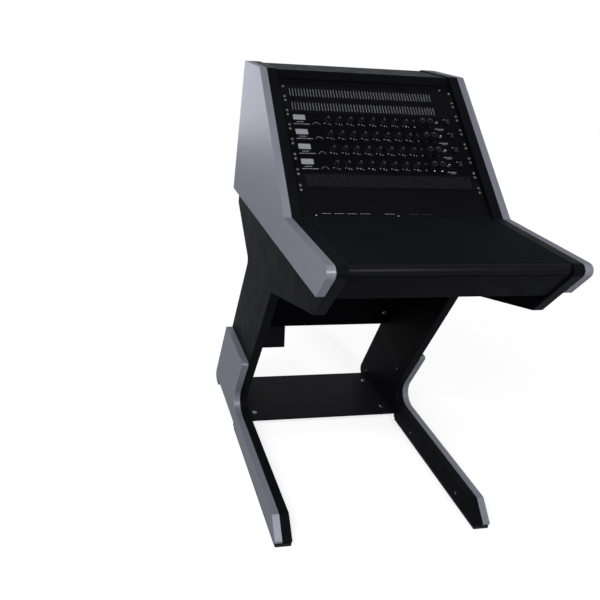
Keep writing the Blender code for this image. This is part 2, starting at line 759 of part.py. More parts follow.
def knobs(parts, finishes, frame):
    """Eight knobs on each channel unit, each with its origin on its own shaft's axis."""
    mesh = knob_mesh(finishes["knob"])
    for number in range(1, CHANNEL_UNITS + 1):
        top = -(FIRST_CHANNEL_UNIT + number - 1) * RACK_UNIT
        for index, place in enumerate(knob_places(), start=1):
            knob = bpy.data.objects.new(f"knob_{number}_{index}", mesh)
            parts.objects.link(knob)
            knob.parent = frame
            knob.location = (place, top - KNOB_DROP, 0)
            screw = knob.modifiers.new("turned", "SCREW")
            screw.steps = KNOB_SIDES
            screw.render_steps = KNOB_SIDES
            screw.use_merge_vertices = True
            screw.merge_threshold = 0.00001


def build():
    for piece in list(bpy.data.objects):
        bpy.data.objects.remove(piece)
    parts = bpy.data.collections.new("studio_rack_sidecar")
    cutters = bpy.data.collections.new("cutters")
    bpy.context.scene.collection.children.link(parts)
    bpy.context.scene.collection.children.link(cutters)
    finishes = {
        "laminate": finish("black_laminate", (0.011, 0.011, 0.015), 0.5, 0),
        "silver": finish("silver_cladding", (0.30, 0.31, 0.36), 0.38, 0.6),
        "steel": finish("black_steel", (0.012, 0.012, 0.016), 0.45, 0),
        "rail": finish("zinc_rail", (0.32, 0.33, 0.35), 0.35, 1),
        "vent": finish("vent_black", (0.010, 0.010, 0.012), 0.5, 0),
        "faceplate": finish("faceplate_black", (0.006, 0.006, 0.008), 0.4, 0),
        "knob": finish("knob_black", (0.012, 0.012, 0.013), 0.35, 0),
        "rubber": finish("pad_rubber", (0.008, 0.008, 0.008), 0.8, 0),
    }
    side_boards(parts, finishes)
    floor_low, back_face, lid_low = cabinet_boards(parts, finishes)
    back_panel(parts, cutters, finishes, floor_low, back_face, lid_low)
    front, rear = modesty_panel(parts, finishes, floor_low)
    glides(base_plate(parts, finishes), cutters)
    cable_box(parts, cutters, finishes, front, rear)

    frame = rack_frame(parts)
    rails(parts, cutters, finishes, frame)
    slots = (SLOT_PITCH, SLOT_WIDTH, SLOT_MARGINS, SLOT_LAND)
    fine = (FINE_PITCH, FINE_WIDTH, FINE_MARGINS, FINE_LAND)
    slotted_panel("vent_panel_upper", 0, slots, finishes["vent"], parts, cutters, frame)
    slotted_panel("vent_panel_lower", 1, slots, finishes["vent"], parts, cutters, frame)
    for number in range(1, CHANNEL_UNITS + 1):
        channel_unit(number, parts, cutters, finishes, frame)
    after = FIRST_CHANNEL_UNIT + CHANNEL_UNITS
    slotted_panel("fine_vent_panel", after, fine, finishes["vent"], parts, cutters, frame)
    rack_panel("blank_panel", after + 1, RACK_UNITS - after - 1, finishes["vent"], parts, frame)
    knobs(parts, finishes, frame)


build()
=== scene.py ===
import json
import math

import bmesh
import bpy
import numpy as np
from mathutils import Matrix, Vector

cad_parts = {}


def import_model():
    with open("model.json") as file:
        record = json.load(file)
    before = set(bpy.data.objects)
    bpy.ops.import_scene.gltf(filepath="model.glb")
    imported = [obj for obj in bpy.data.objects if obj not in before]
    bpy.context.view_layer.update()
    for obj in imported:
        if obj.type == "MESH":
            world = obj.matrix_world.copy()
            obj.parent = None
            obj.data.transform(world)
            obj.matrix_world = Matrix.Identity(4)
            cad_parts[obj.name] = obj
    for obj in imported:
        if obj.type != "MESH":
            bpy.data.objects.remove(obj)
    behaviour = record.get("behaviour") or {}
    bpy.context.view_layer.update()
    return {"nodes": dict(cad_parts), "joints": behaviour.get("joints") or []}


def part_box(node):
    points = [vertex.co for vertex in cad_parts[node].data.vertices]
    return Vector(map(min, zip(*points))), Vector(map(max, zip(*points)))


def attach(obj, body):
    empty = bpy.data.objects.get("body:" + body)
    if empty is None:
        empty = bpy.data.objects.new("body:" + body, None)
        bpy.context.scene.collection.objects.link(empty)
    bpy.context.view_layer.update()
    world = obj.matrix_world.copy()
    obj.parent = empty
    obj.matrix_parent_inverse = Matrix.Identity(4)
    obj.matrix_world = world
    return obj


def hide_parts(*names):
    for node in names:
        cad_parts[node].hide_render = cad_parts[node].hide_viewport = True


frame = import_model()

BODY = "console"
JOINTS = {joint["name"]: joint for joint in frame["joints"]}
SIDES = {"left": -1, "right": 1}

# Rack bay: places there are (across, up the slope from its top edge, out of its face), in metres
RACK_UNIT = 0.04445
RACK_UNITS = 9
FIRST_CHANNEL = 2
CHANNELS = 4
KNOBS = 8
KNOB_DROP = 0.020
LEVEL_KNOBS = (0.1245, 0.1455)
PAN_KNOB = 0.1015

# Height over a surface at which things that lie on it start
SEAT = 0.0001
SCREW_SEAT = 0.0002


def unit_vector(vector):
    return np.asarray(vector, float) / np.linalg.norm(vector)


ACROSS = np.array([1.0, 0.0, 0.0])
BACK = np.array([0.0, 1.0, 0.0])
UP = np.array([0.0, 0.0, 1.0])
OUT = unit_vector(JOINTS["knob_1_1_turn"]["axis"])
UP_SLOPE = np.cross(OUT, ACROSS)
KNOB_ONE = np.array(JOINTS["knob_1_1_turn"]["pos_m"])
RACK_TOP = KNOB_ONE * [0, 1, 1] + UP_SLOPE * (KNOB_DROP + FIRST_CHANNEL * RACK_UNIT)

# A place is an origin and the directions of across, up and out
RACK_PLACE = (RACK_TOP, ACROSS, UP_SLOPE, OUT)


# Shapes: each is a pair of points and faces, in metres


def lofted(rings):
    """Closed surface through rings of equal count: S(i, j) is point j of ring i, and each end ring fans to
    its own middle. Rings run counter-clockwise seen from their far end."""
    rings = np.asarray(rings, float)
    count, around = rings.shape[:2]
    start = np.arange(count - 1)[:, None] * around
    here = np.arange(around)[None, :]
    after = (here + 1) % around
    walls = np.stack([start + here, start + after, start + around + after, start + around + here], -1)
    points = np.vstack([rings.reshape(-1, 3), rings[[0, -1]].mean(axis=1)])
    low = np.stack([np.full(around, count * around), after[0], here[0]], -1)
    last = (count - 1) * around
    high = np.stack([np.full(around, count * around + 1), last + here[0], last + after[0]], -1)
    return points, walls.reshape(-1, 4).tolist() + low.tolist() + high.tolist()


def turned(rows, sides, dent=np.zeros_like):
    """A lathe shape through (radius, height, share) rows: r(a) = radius * (1 - share * dent(a))."""
    angle = np.linspace(0, 2 * np.pi, sides, endpoint=False)[None, :]
    radius, height, share = (np.array(column, float)[:, None] for column in zip(*rows))
    reach = radius * (1 - share * dent(angle))
    return lofted(np.stack([reach * np.cos(angle), reach * np.sin(angle), height + 0 * angle], -1))


def flutes(lobes, depth):
    """Dent of a fluted grip: depth * (1 - cos(lobes * a)) / 2."""
    return lambda angle: depth * (1 - np.cos(lobes * angle)) / 2


def hexagon(angle):
    """Dent that turns a circle into a hexagon: 1 - cos(30 degrees) / cos(angle from the flat's middle)."""
    return 1 - np.cos(np.pi / 6) / np.cos(np.mod(angle, np.pi / 3) - np.pi / 6)


def slab_rings(half_x, half_y, rows, corner, steps=3):
    """Rings of a rectangle with quarter-circle corners, at (inset, height) rows."""
    quarter = np.linspace(0, np.pi / 2, steps + 1)
    turn = np.arange(4)[:, None] * np.pi / 2
    angle = (turn + quarter[None, :]).ravel()
    side = np.repeat([[1, 1], [-1, 1], [-1, -1], [1, -1]], steps + 1, axis=0)
    inset, height = (np.array(column, float)[:, None] for column in zip(*rows))
    radius = np.maximum(corner - inset, corner * 0.2)
    x = side[:, 0] * (half_x - inset - radius) + radius * np.cos(angle)
    y = side[:, 1] * (half_y - inset - radius) + radius * np.sin(angle)
    return np.stack([x, y, height + 0 * x], -1)


def slab(half_x, half_y, low, high, corner, ease=0.0):
    """A rounded rectangle from height low to high, its top edge eased by a small slope."""
    rows = [(0, low), (0, high - ease), (ease, high)] if ease else [(0, low), (0, high)]
    return lofted(slab_rings(half_x, half_y, rows, corner))


def copies(shape, places):
    """The shape repeated, moved by each place in turn."""
    points, faces = shape
    places = np.array(places, float)
    moved = (points[None, :, :] + places[:, None, :]).reshape(-1, 3)
    return moved, [[i + k * len(points) for i in face] for k in range(len(places)) for face in faces]


def together(*shapes):
    """Several shapes as one list of points and faces."""
    points, faces, start = [], [], 0
    for shape_points, shape_faces in shapes:
        points.append(shape_points)
        faces += [[i + start for i in face] for face in shape_faces]
        start += len(shape_points)
    return np.vstack(points), faces


def turned_by(shape, angle):
    """The shape turned clockwise about its own z axis, as seen from the front of a dial."""
    c, s = math.cos(angle), math.sin(angle)
    points, faces = shape
    return points @ np.array([[c, -s, 0], [s, c, 0], [0, 0, 1]]), faces


def strip(points, half_width, low, high):
    """A flat line of even width along 2-D points: each side runs at half_width along the point's normal."""
    way = np.gradient(points, axis=0)
    way /= np.linalg.norm(way, axis=1)[:, None]
    side = np.stack([-way[:, 1], way[:, 0]], -1) * half_width
    left, right = points + side, points - side
    corners = [(left, low), (left, high), (right, high), (right, low)]
    return lofted(np.stack([np.insert(flank, 2, height, axis=1) for flank, height in corners], axis=1))


def new_piece(name, shapes, place, finishes, body=BODY, smooth=40):
    """A mesh object with its place in its mesh, riding on its body. Each shape has the finish of its turn.
    A mirrored place turns the faces round, so that they still point outwards."""
    points, faces = together(*shapes)
    origin, *axes = place
    if np.linalg.det(axes) < 0:
        faces = [face[::-1] for face in faces]
    mesh = bpy.data.meshes.new(name)
    mesh.from_pydata((origin + points @ np.array(axes)).tolist(), [], faces)
    for finish in finishes:
        mesh.materials.append(FINISH[finish])
    numbers = [number for number, shape in enumerate(shapes) for _ in shape[1]]
    mesh.polygons.foreach_set("material_index", numbers)
    mesh.polygons.foreach_set("use_smooth", [True] * len(mesh.polygons))
    mesh.set_sharp_from_angle(angle=math.radians(smooth))
    piece = bpy.data.objects.new(name, mesh)
    bpy.context.scene.collection.objects.link(piece)
    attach(piece, body)
    return piece


# Finishes


class Nodes:
    """A material's node tree with short calls for the nodes that the finishes use."""

    def __init__(self, name):
        self.material = bpy.data.materials.new(name)
        self.material.use_nodes = True
        self.tree = self.material.node_tree
        self.shader = self.tree.nodes["Principled BSDF"]
        self.place = self.add("ShaderNodeTexCoord").outputs["Object"]

    def add(self, kind, **values):
        node = self.tree.nodes.new(kind)
        for key, value in values.items():
            setattr(node, key, value)
        return node

    def link(self, start, end):
        self.tree.links.new(start, end)

    def noise(self, scale, detail=3.0, roughness=0.5, stretch=(1, 1, 1)):
        mapping = self.add("ShaderNodeMapping")
        mapping.inputs["Scale"].default_value = stretch
        self.link(self.place, mapping.inputs["Vector"])
        node = self.add("ShaderNodeTexNoise")
        node.inputs["Scale"].default_value = scale
        node.inputs["Detail"].default_value = detail
        node.inputs["Roughness"].default_value = roughness
        self.link(mapping.outputs["Vector"], node.inputs["Vector"])
        return node.outputs["Fac"]

    def ramp(self, value, low, high, colours):
        node = self.add("ShaderNodeValToRGB")
        for stop, position, colour in zip(node.color_ramp.elements, (low, high), colours):
            stop.position = position
            stop.color = (*colour, 1)
        self.link(value, node.inputs["Fac"])
        return node.outputs["Color"]

    def spread(self, value, low, high):
        """The middle of a noise's range, 0.3 to 0.7, laid out from low to high."""
        node = self.add("ShaderNodeMapRange")
        node.inputs["From Min"].default_value = 0.3
        node.inputs["From Max"].default_value = 0.7
        node.inputs["To Min"].default_value = low
        node.inputs["To Max"].default_value = high
        self.link(value, node.inputs["Value"])
        return node.outputs["Result"]

    def bump(self, value, distance, strength=1.0):
        node = self.add("ShaderNodeBump")
        node.inputs["Distance"].default_value = distance
        node.inputs["Strength"].default_value = strength
        self.link(value, node.inputs["Height"])
        self.link(node.outputs["Normal"], self.shader.inputs["Normal"])

    def colour(self, value):
        self.link(value, self.shader.inputs["Base Color"])

    def roughness(self, value):
        self.link(value, self.shader.inputs["Roughness"])

    def constant(self, **values):
        for key, value in values.items():
            self.shader.inputs[key.replace("_", " ")].default_value = value


# Tint of the sheen on black laminate, and of the rim that brushed laminate shows at a flat angle
COOL = (0.60, 0.72, 1.0, 1.0)
DARK_RIM = (0.35, 0.36, 0.42, 1.0)


def tinted(colour, low, high):
    return [tuple(channel * share for channel in colour) for share in (low, high)]


def laminate(name, colour, rough, grain=900, specular=0.010, sheen=0.012, relief=0.00003):
    """Pressed laminate: fine pebbled texture, faint cloudy variation, a dull and slightly uneven sheen."""
    nodes = Nodes(name)
    nodes.colour(nodes.ramp(nodes.noise(7, 4), 0.3, 0.7, tinted(colour, 0.88, 1.12)))
    nodes.roughness(nodes.spread(nodes.noise(22, 5), rough - 0.05, rough + 0.06))
    nodes.bump(nodes.noise(grain, 2), relief)
    nodes.constant(Specular_IOR_Level=specular, Sheen_Weight=sheen, Sheen_Roughness=0.35, Sheen_Tint=COOL)
    return nodes.material


def brushed_silver(name, colour, along):
    """Brushed metallic laminate: fine streaks along the board, in colour, roughness and relief."""
    nodes = Nodes(name)
    streaks = nodes.noise(850, 3, 0.6, stretch=along)
    nodes.colour(nodes.ramp(streaks, 0.25, 0.75, tinted(colour, 0.84, 1.16)))
    nodes.roughness(nodes.spread(streaks, 0.34, 0.44))
    nodes.bump(streaks, 0.00003, 0.35)
    nodes.constant(Metallic=0.25, Specular_IOR_Level=0.02, Specular_Tint=DARK_RIM)
    return nodes.material


def powder_coat(name, colour, rough, specular):
    """Powder-coated sheet: a fine orange-peel surface over an even colour with faint patches."""
    nodes = Nodes(name)
    nodes.colour(nodes.ramp(nodes.noise(9, 3), 0.3, 0.7, tinted(colour, 0.8, 1.2)))
    nodes.roughness(nodes.spread(nodes.noise(60, 3), rough - 0.05, rough + 0.05))
    nodes.bump(nodes.noise(1400, 2), 0.00005, 0.5)
    nodes.constant(Specular_IOR_Level=specular)
    return nodes.material


def metal(name, colour, rough, metallic=1.0):
    """Plated or turned metal with light handling marks."""
    nodes = Nodes(name)
    nodes.colour(nodes.ramp(nodes.noise(300, 3), 0.3, 0.7, tinted(colour, 0.85, 1.12)))
    nodes.roughness(nodes.spread(nodes.noise(500, 4), rough - 0.06, rough + 0.08))
    nodes.constant(Metallic=metallic)
    return nodes.material


def moulded(name, colour, rough, specular):
    """Moulded plastic or rubber with a fine spark-eroded skin."""
    nodes = Nodes(name)
    nodes.colour(nodes.ramp(nodes.noise(200, 3), 0.3, 0.7, tinted(colour, 0.85, 1.15)))
    nodes.roughness(nodes.spread(nodes.noise(700, 3), rough - 0.05, rough + 0.07))
    nodes.bump(nodes.noise(2600, 2), 0.00003, 0.4)
    nodes.constant(Specular_IOR_Level=specular)
    return nodes.material


def ink(name, colour):
    """Screen-printed ink: slightly broken in tone, dull."""
    nodes = Nodes(name)
    nodes.colour(nodes.ramp(nodes.noise(1800, 2), 0.3, 0.7, tinted(colour, 0.82, 1.08)))
    nodes.roughness(nodes.spread(nodes.noise(900, 2), 0.5, 0.65))
    nodes.constant(Specular_IOR_Level=0.2)
    return nodes.material


BLACK = (0.0030, 0.0031, 0.0043)
EDGE_BLACK = (0.0046, 0.0048, 0.0064)
# Tone of the worktop's flat faces, twice that of the same black laminate elsewhere: painted sheen, standing
# in for the reflection that their low specular leaves out
TOP_BLACK_PAINTED_SHEEN = (0.0060, 0.0062, 0.0082)
SILVER = (0.190, 0.197, 0.234)
FINISH = {
    "laminate": laminate("black_laminate_face", BLACK, 0.50),
    # Worktop flat faces: painted sheen in a doubled tone, with almost no specular
    "top": laminate("black_worktop_face_painted_sheen", TOP_BLACK_PAINTED_SHEEN, 0.50, specular=0.0015, sheen=0.010),
    "apron": laminate("black_apron_face", BLACK, 0.50, specular=0.008, sheen=0.010),
    "nose": laminate("black_postformed_nose", BLACK, 0.34, specular=0.055, relief=0.00001),
    "edge": laminate("black_edge_band", EDGE_BLACK, 0.42, grain=1500, specular=0.010, sheen=0.007),
    "silver": brushed_silver("silver_laminate_face", SILVER, (1.0, 0.012, 0.8)),
    "silver_edge": brushed_silver("silver_edge_band", SILVER, (1.0, 0.012, 0.012)),
    "steel": powder_coat("black_powder_coat", (0.0055, 0.0055, 0.0070), 0.52, 0.035),
    "vent": powder_coat("vent_paint", (0.0036, 0.0036, 0.0046), 0.50, 0.015),
    "faceplate": powder_coat("faceplate_anodised", (0.0020, 0.0020, 0.0028), 0.42, 0.014),
    "zinc": metal("zinc_plate", (0.30, 0.31, 0.33), 0.36),
    "fin": metal("vent_fin", (0.31, 0.315, 0.345), 0.50, 0.5),
    "fine_fin": metal("fine_vent_fin", (0.042, 0.043, 0.047), 0.50, 0.5),
    "screw": metal("dark_screw", (0.13, 0.13, 0.14), 0.30),
    "dull_screw": metal("blackened_screw", (0.045, 0.045, 0.050), 0.34),
    "cap": metal("satin_cap", (0.22, 0.22, 0.23), 0.32),
    "bright": metal("bright_nickel", (0.62, 0.62, 0.63), 0.18),
    "knob": moulded("knob_plastic", (0.0060, 0.0060, 0.0068), 0.32, 0.14),
    "rubber": moulded("pad_rubber_skin", (0.0070, 0.0070, 0.0072), 0.75, 0.2),
    "white": ink("white_print", (0.62, 0.63, 0.67)),
    "grey": ink("grey_print", (0.20, 0.20, 0.215)),
    "tick": ink("tick_print", (0.050, 0.050, 0.056)),
    "worn": ink("worn_print", (0.030, 0.030, 0.034)),
    "pointer": ink("pointer_paint", (0.22, 0.22, 0.24)),
    "plate": ink("pale_plate", (0.24, 0.245, 0.28)),
}


# Boards

# Easing of their edges: boards that meet another flush have the small one
EASE = 0.0010
SMALL_EASE = 0.0008
SHEET_EASE = 0.0004
SHARP_EDGE = math.radians(35)
JOINT_REACH = 0.0006
NORMAL_REACH = math.radians(50)

# Soles: easing below and above, how far they stay behind the toe and inside the pads, and their corners
SOLE_FOOT = (0.0010, 0.0012)
SOLE_TOP = 0.0008
SOLE_BACKSET = 0.001
SOLE_INSET = 0.0006
SOLE_CORNER = 0.003


def dress(node, finish):
    """Gives a node that stays its finish."""
    piece = frame["nodes"][node]
    piece.data.materials.clear()
    piece.data.materials.append(FINISH[finish])


def set_weighted_normals(mesh, angle):
    """Corner normals that follow the larger faces: each is the sum of area times normal over the faces at
    its point that turn by less than the angle, so that flat boards stay flat beside their eased edges."""
    limit = math.cos(angle)
    normals = np.array([face.normal for face in mesh.polygons], float)
    areas = np.array([face.area for face in mesh.polygons], float)
    around = [[] for _ in mesh.vertices]
    for face in mesh.polygons:
        for point in face.vertices:
            around[point].append(face.index)
    corners = []
    for face in mesh.polygons:
        for point in face.vertices:
            near = [other for other in around[point] if normals[other] @ normals[face.index] > limit]
            corners.append(unit_vector(areas[near] @ normals[near]).tolist())
    mesh.normals_split_custom_set(corners)


def board_part(normal):
    """0 for a board's large side faces, 1 for its edges."""
    return 0 if abs(normal.x) > 0.9 else 1


def worktop_part(normal):
    """0 for the worktop's flat faces, 1 for its round nose, 2 for the lip that goes on into the apron."""
    if -0.2 < normal.z < 0.9:
        return 1
    return 2 if normal.y < -0.5 else 0


def eased_copy(node, finishes, width, part=board_part, joint=None):
    """A board with its long edges eased: the node's solid welded, bevelled and smoothed. The part rule picks
    each face's finish. A width of 0 leaves all edges, and those at the height of a joint stay square."""
    shape = bmesh.new()
    shape.from_mesh(frame["nodes"][node].data)
    bmesh.ops.remove_doubles(shape, verts=shape.verts, dist=1e-6)
    bmesh.ops.dissolve_limit(shape, angle_limit=math.radians(0.5), verts=shape.verts, edges=shape.edges)
    shape.normal_update()
    if width:
        edges = [edge for edge in shape.edges if edge.is_manifold and edge.calc_face_angle() > SHARP_EDGE]
        if joint:
            edges = [edge for edge in edges if max(abs(v.co.z - joint) for v in edge.verts) > JOINT_REACH]
        bmesh.ops.bevel(
            shape, geom=edges, offset=width, segments=2, profile=0.5, affect="EDGES", clamp_overlap=True
        )
    bmesh.ops.triangulate(shape, faces=[face for face in shape.faces if len(face.verts) > 4])
    for face in shape.faces:
        face.smooth = True
        face.material_index = part(face.normal) if len(finishes) > 1 else 0
    mesh = bpy.data.meshes.new(node + "_board")
    shape.to_mesh(mesh)
    shape.free()
    for finish in finishes:
        mesh.materials.append(FINISH[finish])
    set_weighted_normals(mesh, NORMAL_REACH)
    piece = bpy.data.objects.new(node + "_board", mesh)
    bpy.context.scene.collection.objects.link(piece)
    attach(piece, BODY)
    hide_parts(node)


def sole(side):
    """A rubber pad under the front foot, eased all round, its front edge below the toe's own."""
    low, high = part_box(f"foot_pad_{side}")
    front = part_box(f"lower_cladding_{side}")[0].y - SOLE_BACKSET
    middle = np.array([(low.x + high.x) / 2, (front + high.y) / 2, 0.0])
    inset, rise = SOLE_FOOT
    rows = [(inset, low.z), (0, low.z + rise), (0, high.z - SOLE_TOP), (SOLE_TOP, high.z)]
    pad = lofted(slab_rings((high.x - low.x) / 2 - SOLE_INSET, (high.y - front) / 2, rows, SOLE_CORNER, 5))
    piece = new_piece(f"sole_{side}", [pad], (middle, ACROSS, BACK, UP), ["rubber"])
    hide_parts(f"foot_pad_{side}")


def boards():
    for side in SIDES:
        eased_copy(f"side_panel_{side}", ["laminate", "edge"], EASE)
        eased_copy(f"upper_cladding_{side}", ["silver", "silver_edge"], 0)
        eased_copy(f"lower_cladding_{side}", ["silver", "silver_edge"], 0)
        sole(side)
        dress(f"rack_rail_{side}", "zinc")
    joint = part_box("front_apron")[1].z
    eased_copy("worktop", ["top", "nose", "apron"], SMALL_EASE, worktop_part, joint)
    eased_copy("front_apron", ["apron"], SMALL_EASE, joint=joint)
    for node in ("bottom_panel", "top_lid", "top_fascia", "modesty_panel", "back_panel"):
        eased_copy(node, ["laminate"], SMALL_EASE)
    eased_copy("base_plate", ["steel"], EASE)
    eased_copy("cable_box", ["steel"], SHEET_EASE)
    for node in ("vent_panel_upper", "vent_panel_lower", "fine_vent_panel", "blank_panel"):
        dress(node, "vent")
    for number in range(1, CHANNELS + 1):
        dress(f"channel_unit_{number}", "faceplate")


# Rack bay

# Heads of its screws as (radius, height), their places, and the washer's rows of (radius, height, share)
RACK_HEAD = (0.0031, 0.0020)
PANEL_HEAD = (0.0022, 0.0012)
FASCIA_HEAD = (0.0028, 0.0014)
WASHER = [(0.0048, 0, 0), (0.0048, 0.0005, 0), (0.0045, 0.0007, 0)]
ON_WASHER = 0.0008
SCREW_ACROSS = 0.23255
SCREW_INSET = 0.00635
PANEL_SCREWS = (-0.2067, -0.0017)
PANEL_SCREW_DROP = 0.3862
PANEL_THICKNESS = 0.003
FASCIA_SCREW = (0.211, 0.0072)

# Slots of the vent panels, and the fin at each slot's right-hand wall
VENT_SLOTS = dict(count=50, pitch=0.00794, first=-0.217, width=0.0040, height=0.026, depth=0.0050)
FINE_SLOTS = dict(count=88, pitch=0.00494, first=-0.2148, width=0.0022, height=0.035, depth=0.0030)
FINE_VENT = 6
FIN_HALF = 0.00022
FIN_PLAY = 0.00008
FIN_INSET = 0.0003
FIN_CORNER = 0.0001

# Turning knobs: rows of (radius, height, flute share) from the shaft's end over skirt, grip and cap
KNOB_RADIUS = 0.0062
KNOB_CAP = 0.0047
KNOB_SKIRT = 0.0031
KNOB_HEIGHT = 0.0115
KNOB_ROWS = [
    (KNOB_RADIUS * 0.48, -0.0026, 0),
    (KNOB_RADIUS * 0.48, 0.0005, 0),
    (KNOB_RADIUS * 0.98, 0.0005, 0),
    (KNOB_RADIUS, 0.0009, 0),
    (KNOB_RADIUS * 0.97, 0.0016, 0),
    (KNOB_CAP * 1.04, KNOB_SKIRT, 0.2),
    (KNOB_CAP, KNOB_SKIRT + 0.0005, 1),
    (KNOB_CAP * 0.99, KNOB_HEIGHT - 0.0013, 1),
    (KNOB_CAP * 0.93, KNOB_HEIGHT - 0.0004, 0.6),
    (KNOB_CAP * 0.84, KNOB_HEIGHT, 0.0),
    (KNOB_CAP * 0.66, KNOB_HEIGHT, 0.0),
    (KNOB_CAP * 0.30, KNOB_HEIGHT - 0.0004, 0.0),
]
KNOB_FLUTES = (16, 0.07)

# Pointers as (reach from the knob's middle, height, half width), their half length as a share of the reach
POINTER_HALF = 0.00035
POINTER_SHARE = 0.42
POINTER_DEPTH = 0.0005
POINTER_CORNER = 0.0002
KNOB_POINTER = (0.0043, KNOB_HEIGHT, POINTER_HALF)

# Level and pan knobs, which stay still here: rows of the solid under each cap, and the cap's play over it
LEVEL_ROWS = [
    (0.0078, 0.0003, 0), (0.0078, 0.0022, 0), (0.0076, 0.0030, 1), (0.0075, 0.0128, 1),
    (0.0071, 0.0138, 0.5), (0.0064, 0.0140, 0), (0.0050, 0.0139, 0), (0.0020, 0.0136, 0),
]
LEVEL_FLUTES = (20, 0.03)
LEVEL_PLAY = 0.00045
LEVEL_POINTER = (0.0068, 0.01425, 0.0005)
PAN_ROWS = [
    (0.0041, 0.0003, 0), (0.0040, 0.0012, 1), (0.0039, 0.0080, 1), (0.0036, 0.0088, 0.5),
    (0.0030, 0.0090, 0), (0.0012, 0.0087, 0),
]
PAN_FLUTES = (12, 0.05)
PAN_PLAY = 0.00035
PAN_POINTER = (0.0034, 0.00925, POINTER_HALF)
TOP_PLAY = 0.00015

# Rocker switch: its place, the bezel's half sizes and (inset, height) rows, the rocker and its dash
ROCKER_PLACE = 0.2015
ROCKER_DROP = 0.0125
ROCKER_TILT = math.radians(9)
BEZEL = (0.0052, 0.0072)
BEZEL_ROWS = [(0, 0.0002), (0, 0.0038), (0.0005, 0.0043), (0.0011, 0.0043)]
BEZEL_CORNER = 0.001
ROCKER = dict(half_x=0.0039, half_y=0.0058, low=0.0038, high=0.0054, corner=0.0006, ease=0.0003)
ROCKER_DASH = dict(half_x=0.0003, half_y=0.0014, low=0.0058, high=0.0061, corner=0.0001)
DASH_RISE = 0.0035

# Indicators: offset across from a level knob, drop below the unit's upper edge, and their rows
LIGHT_SPOT = (0.0022, 0.0330)
LIGHT_ROWS = [(0.0021, SEAT, 0), (0.0021, 0.0009, 0), (0.0017, 0.0015, 0), (0.0009, 0.0019, 0)]


def unit_top(unit):
    """Place up the slope of a rack unit's upper edge."""
    return -unit * RACK_UNIT


def channel_spots(number, across, drop=KNOB_DROP):
    """Places on a channel unit's faceplate, at one drop below its upper edge."""
    up = unit_top(FIRST_CHANNEL + number - 1) - drop
    return [(x, up, 0) for x in across]


def screw_head(radius, height):
    """A button-head screw with a hexagon socket, turned from its seat over the dome and down the socket."""
    socket = radius * 0.42
    rows = [
        (radius, 0, 0),
        (radius, height * 0.3, 0),
        (radius * 0.9, height * 0.7, 0),
        (radius * 0.72, height * 0.93, 0),
        (radius * 0.52, height, 0),
        (socket, height, 1),
        (socket * 0.95, height * 0.35, 1),
    ]
    return turned(rows, 24, hexagon)


def rack_screws():
    """A screw with its washer in each corner of each panel, and the small ones of blank panel and fascia."""
    washer = turned(WASHER, 24)
    head = screw_head(*RACK_HEAD)
    seats = []
    for first, units in [(unit, 1) for unit in range(RACK_UNITS - 2)] + [(RACK_UNITS - 2, 2)]:
        seats += [unit_top(first) - SCREW_INSET, unit_top(first + units) + SCREW_INSET]
    for side, sign in SIDES.items():
        washers = copies(washer, [(sign * SCREW_ACROSS, up, SCREW_SEAT) for up in seats])
        heads = copies(head, [(sign * SCREW_ACROSS, up, ON_WASHER) for up in seats])
        new_piece(f"rack_screws_{side}", [washers, heads], RACK_PLACE, ["rubber", "screw"])
    panel = copies(screw_head(*PANEL_HEAD), [(x, -PANEL_SCREW_DROP, SCREW_SEAT) for x in PANEL_SCREWS])
    new_piece("blank_panel_screws", [panel], RACK_PLACE, ["cap"])
    fascia = copies(screw_head(*FASCIA_HEAD), [(*FASCIA_SCREW, SCREW_SEAT - PANEL_THICKNESS)])
    new_piece("fascia_screw", [fascia], RACK_PLACE, ["screw"])


def vent_fins():
    """Pressed fins on the right-hand wall of each slot, which turn the air and catch the light."""
    for name, unit, slots, finish in (
        ("vent_fins_upper", 0, VENT_SLOTS, "fin"),
        ("vent_fins_lower", 1, VENT_SLOTS, "fin"),
        ("fine_vent_fins", FINE_VENT, FINE_SLOTS, "fine_fin"),
    ):
        fin = slab(FIN_HALF, slots["height"] / 2 - FIN_INSET, -slots["depth"], -FIN_INSET, FIN_CORNER)
        right = slots["first"] + slots["pitch"] * np.arange(slots["count"]) + slots["width"] / 2
        middle = unit_top(unit) - RACK_UNIT / 2
        fins = copies(fin, [(x - FIN_HALF - FIN_PLAY, middle, 0) for x in right])
        new_piece(name, [fins], RACK_PLACE, [finish])


def pointer(reach, height, half_width):
    """The pale line on a knob's cap, from near its middle to its rim."""
    half_length = reach * POINTER_SHARE
    bar = slab(half_width, half_length, height - POINTER_DEPTH, height + SEAT, POINTER_CORNER)
    return copies(bar, [(0, reach - half_length, 0)])


def turning_knobs():
    """One fluted knob with its pointer on each shaft."""
    shapes = [turned(KNOB_ROWS, 48, flutes(*KNOB_FLUTES)), pointer(*KNOB_POINTER)]
    for number in range(1, CHANNELS + 1):
        for index in range(1, KNOBS + 1):
            name = f"knob_{number}_{index}"
            place = (np.array(JOINTS[name + "_turn"]["pos_m"]), ACROSS, UP_SLOPE, OUT)
            cap = new_piece(
                name + "_cap", shapes, place, ["knob", "pointer"], name + "_body", 35
            )
            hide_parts(name)


def over(rows, play):
    """Rows of a cap that goes over the solid with the given rows."""
    return [(radius + play, height + TOP_PLAY, share) for radius, height, share in rows]


